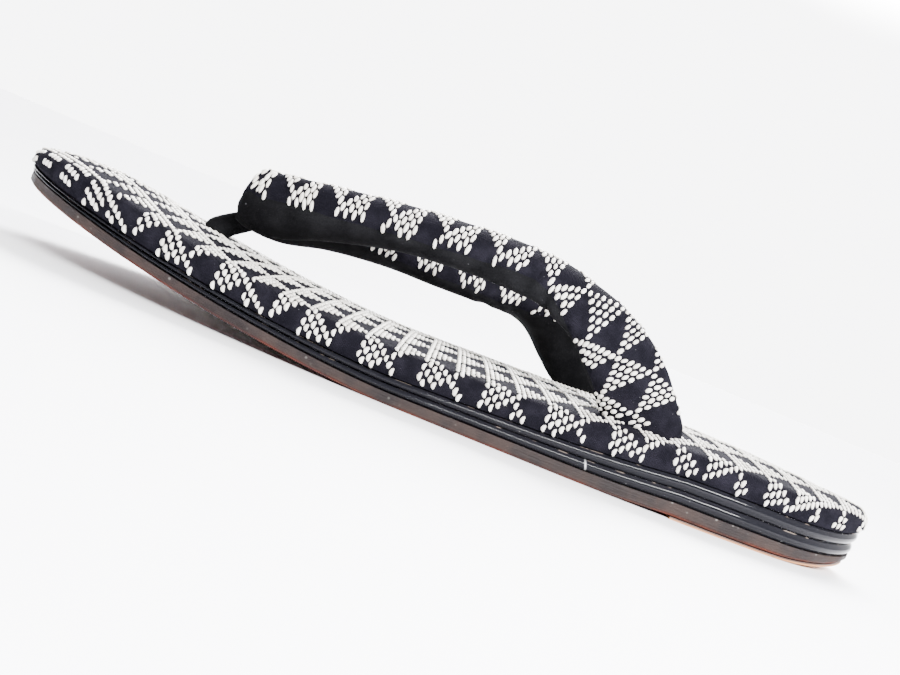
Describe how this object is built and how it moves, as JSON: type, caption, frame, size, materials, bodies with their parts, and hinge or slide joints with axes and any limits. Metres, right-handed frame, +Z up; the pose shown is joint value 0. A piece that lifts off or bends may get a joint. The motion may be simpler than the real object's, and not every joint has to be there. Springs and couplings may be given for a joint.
{
  "type": "setta sandal",
  "caption": "Flat sandal with a layered sole, cloth-covered padded footbed and padded straps that meet in a fold held by a toe thong.",
  "frame": {"origin": "on the floor, under the middle of the sole's length and width", "axes": "+X from heel to toe, +Y to the side of the higher strap, +Z up"},
  "size_m": [0.254, 0.0954, 0.0508],
  "materials": {
    "tan_leather": "cut leather edge, tan to dark brown, worn",
    "stained_leather": "leather edge stained grey-black, reddish along its lower edge, rough",
    "black_lacquer": "high-gloss black enamel coat",
    "woven_cloth": "matte black weave with plump ivory stitches in a traditional triangle pattern",
    "black_velvet": "short-pile black velvet"
  },
  "bodies": {
    "root": {"heel_lift": "tan_leather", "outsole": "stained_leather", "lower_band": "black_lacquer", "upper_band": "black_lacquer", "footbed": "woven_cloth", "straps": "woven_cloth", "toe_thong": "black_velvet"}
  },
  "joints": []
}
